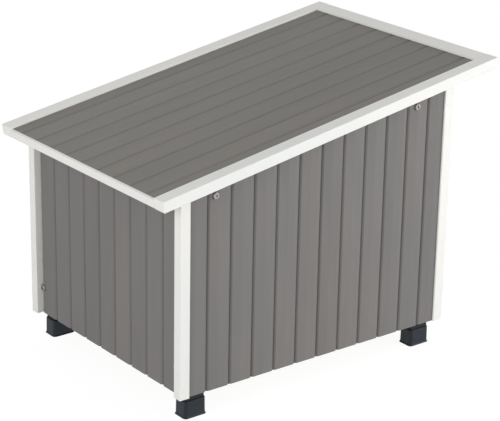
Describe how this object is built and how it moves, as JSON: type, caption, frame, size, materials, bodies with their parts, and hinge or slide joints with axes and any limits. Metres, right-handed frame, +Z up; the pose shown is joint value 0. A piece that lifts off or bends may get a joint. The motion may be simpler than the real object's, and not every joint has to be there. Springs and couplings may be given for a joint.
{
  "type": "cat house",
  "caption": "Wooden outdoor cat house with a pent roof, tongue and groove walls, white corner posts, plastic feet and a swinging clear flap in its front doorway.",
  "frame": {"origin": "on the ground, under the middle of the roof's outline", "axes": "+Z up, the front with the doorway faces -Y, the low rear wall faces +Y, and +X is to the right of someone who faces the front"},
  "size_m": [0.521, 0.7624, 0.5579],
  "materials": {
    "grey_painted_wood": "matte",
    "white_painted_wood": "satin",
    "bare_pine": "matte",
    "black_stained_wood": "matte",
    "black_plastic": "satin",
    "clear_acrylic": "gloss",
    "zinc_plated_steel": "satin"
  },
  "bodies": {
    "house": {"roof_board_01": "grey_painted_wood", "roof_board_02": "grey_painted_wood", "roof_board_03": "grey_painted_wood", "roof_board_04": "grey_painted_wood", "roof_board_05": "grey_painted_wood", "roof_board_06": "grey_painted_wood", "roof_board_07": "grey_painted_wood", "roof_board_08": "grey_painted_wood", "roof_board_09": "grey_painted_wood", "roof_board_10": "grey_painted_wood", "left_wall_boards": "grey_painted_wood", "right_wall_boards": "grey_painted_wood", "rear_wall_boards": "grey_painted_wood", "front_boards_left_of_door": "grey_painted_wood", "front_boards_right_of_door": "grey_painted_wood", "front_boards_above_door": "grey_painted_wood", "front_boards_below_door": "grey_painted_wood", "roof_rail_left": "white_painted_wood", "roof_rail_right": "white_painted_wood", "roof_rail_front": "white_painted_wood", "roof_strip_rear": "white_painted_wood", "door_frame_left": "white_painted_wood", "door_frame_right": "white_painted_wood", "door_frame_head": "white_painted_wood", "door_frame_sill": "white_painted_wood", "corner_post_rear_left": "white_painted_wood", "corner_post_rear_right": "white_painted_wood", "corner_post_front_left": "white_painted_wood", "corner_post_front_right": "white_painted_wood", "roof_batten_rear": "bare_pine", "roof_batten_front": "bare_pine", "floor_boards": "bare_pine", "bottom_cleat_left": "bare_pine", "bottom_cleat_right": "bare_pine", "bottom_cleat_rear": "bare_pine", "bottom_cleat_front": "bare_pine", "top_cleat_left": "bare_pine", "top_cleat_right": "bare_pine", "top_cleat_rear": "bare_pine", "top_cleat_front": "bare_pine", "leg_rear_left": "black_stained_wood", "foot_cap_rear_left": "black_plastic", "leg_rear_right": "black_stained_wood", "foot_cap_rear_right": "black_plastic", "leg_front_left": "black_stained_wood", "foot_cap_front_left": "black_plastic", "leg_front_right": "black_stained_wood", "foot_cap_front_right": "black_plastic", "flap_pin": "zinc_plated_steel", "roof_bolts": "zinc_plated_steel", "roof_bolt_cross_dowels": "zinc_plated_steel", "wall_bolts": "zinc_plated_steel", "wall_bolt_nuts": "zinc_plated_steel", "top_corner_brackets": "zinc_plated_steel", "bracket_screws": "zinc_plated_steel"},
    "flap": {"flap_panel": "clear_acrylic", "flap_clips": "black_plastic", "flap_rivets": "zinc_plated_steel"}
  },
  "joints": [
    {"name": "flap_swing", "type": "hinge", "parent": "house", "child": "flap", "pos_m": [0, -0.26773, 0.343], "axis": [1, 0, 0], "range_deg": [-85, 85]}
  ]
}
